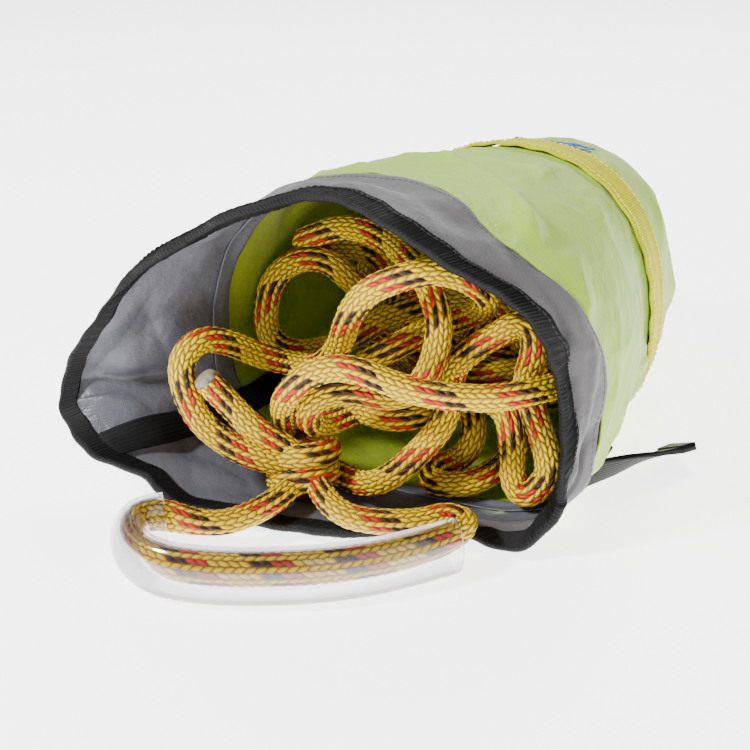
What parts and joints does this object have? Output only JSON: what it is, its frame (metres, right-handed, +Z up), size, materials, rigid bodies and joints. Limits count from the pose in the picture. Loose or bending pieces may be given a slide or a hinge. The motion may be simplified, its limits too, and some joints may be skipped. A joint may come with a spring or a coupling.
{
  "type": "throw rope bag",
  "caption": "Soft throw rope bag on its side with an open collar, banded base, loose heap of braided rope, knot and a hand loop in clear hose.",
  "frame": {"origin": "middle of the flat underside that the bag rests on", "axes": "+Y along the bag from the mouth to the base, +Z up"},
  "size_m": [0.2304, 0.3003, 0.1437],
  "materials": {
    "collar_cloth": "grey coated polyester twill",
    "black_webbing": "black woven tape",
    "body_cloth": "lime green ripstop nylon",
    "yellow_webbing": "yellow woven webbing",
    "yellow_thread": "yellow polyester thread",
    "grey_thread": "dark grey polyester thread",
    "black_thread": "black polyester thread",
    "blue_print": "blue screen print",
    "foam": "closed-cell foam",
    "rope": "yellow braided rope with black and red tracers",
    "sealed_end": "melted rope end",
    "clear_hose": "clear soft PVC hose"
  },
  "bodies": {
    "bag": {"collar": "collar_cloth", "rim_binding": "black_webbing", "binding_lap": "black_webbing", "body_panel": "body_cloth", "base_cuff": "body_cloth", "base_disc": "body_cloth", "yellow_band": "yellow_webbing", "band_stitching": "yellow_thread", "collar_seam_stitching": "grey_thread", "rim_stitching": "black_thread", "seam_tape": "collar_cloth", "inner_strap": "black_webbing", "strap_anchor": "black_webbing", "print_patch": "blue_print", "foam_float": "foam", "anchor_tab": "black_webbing", "anchor_knot": "rope", "rope_coil": "rope", "rope_line": "rope", "knot": "rope", "rope_tail": "rope", "tail_whipping": "sealed_end"},
    "hand_loop": {"hand_loop_rope": "rope", "grip_sleeve": "clear_hose"},
    "strap_end": {"tail_strap": "black_webbing", "tail_hem": "black_webbing"}
  },
  "joints": [
    {"name": "hand_loop_lift", "type": "hinge", "parent": "bag", "child": "hand_loop", "pos_m": [-0.027, -0.091, 0.0187], "axis": [-0.7071, -0.7071, 0], "range_deg": [0, 40]},
    {"name": "strap_end_swing", "type": "hinge", "parent": "bag", "child": "strap_end", "pos_m": [0.074, -0.014, 0.008], "axis": [0, 0, 1], "range_deg": [-12, 12]}
  ]
}
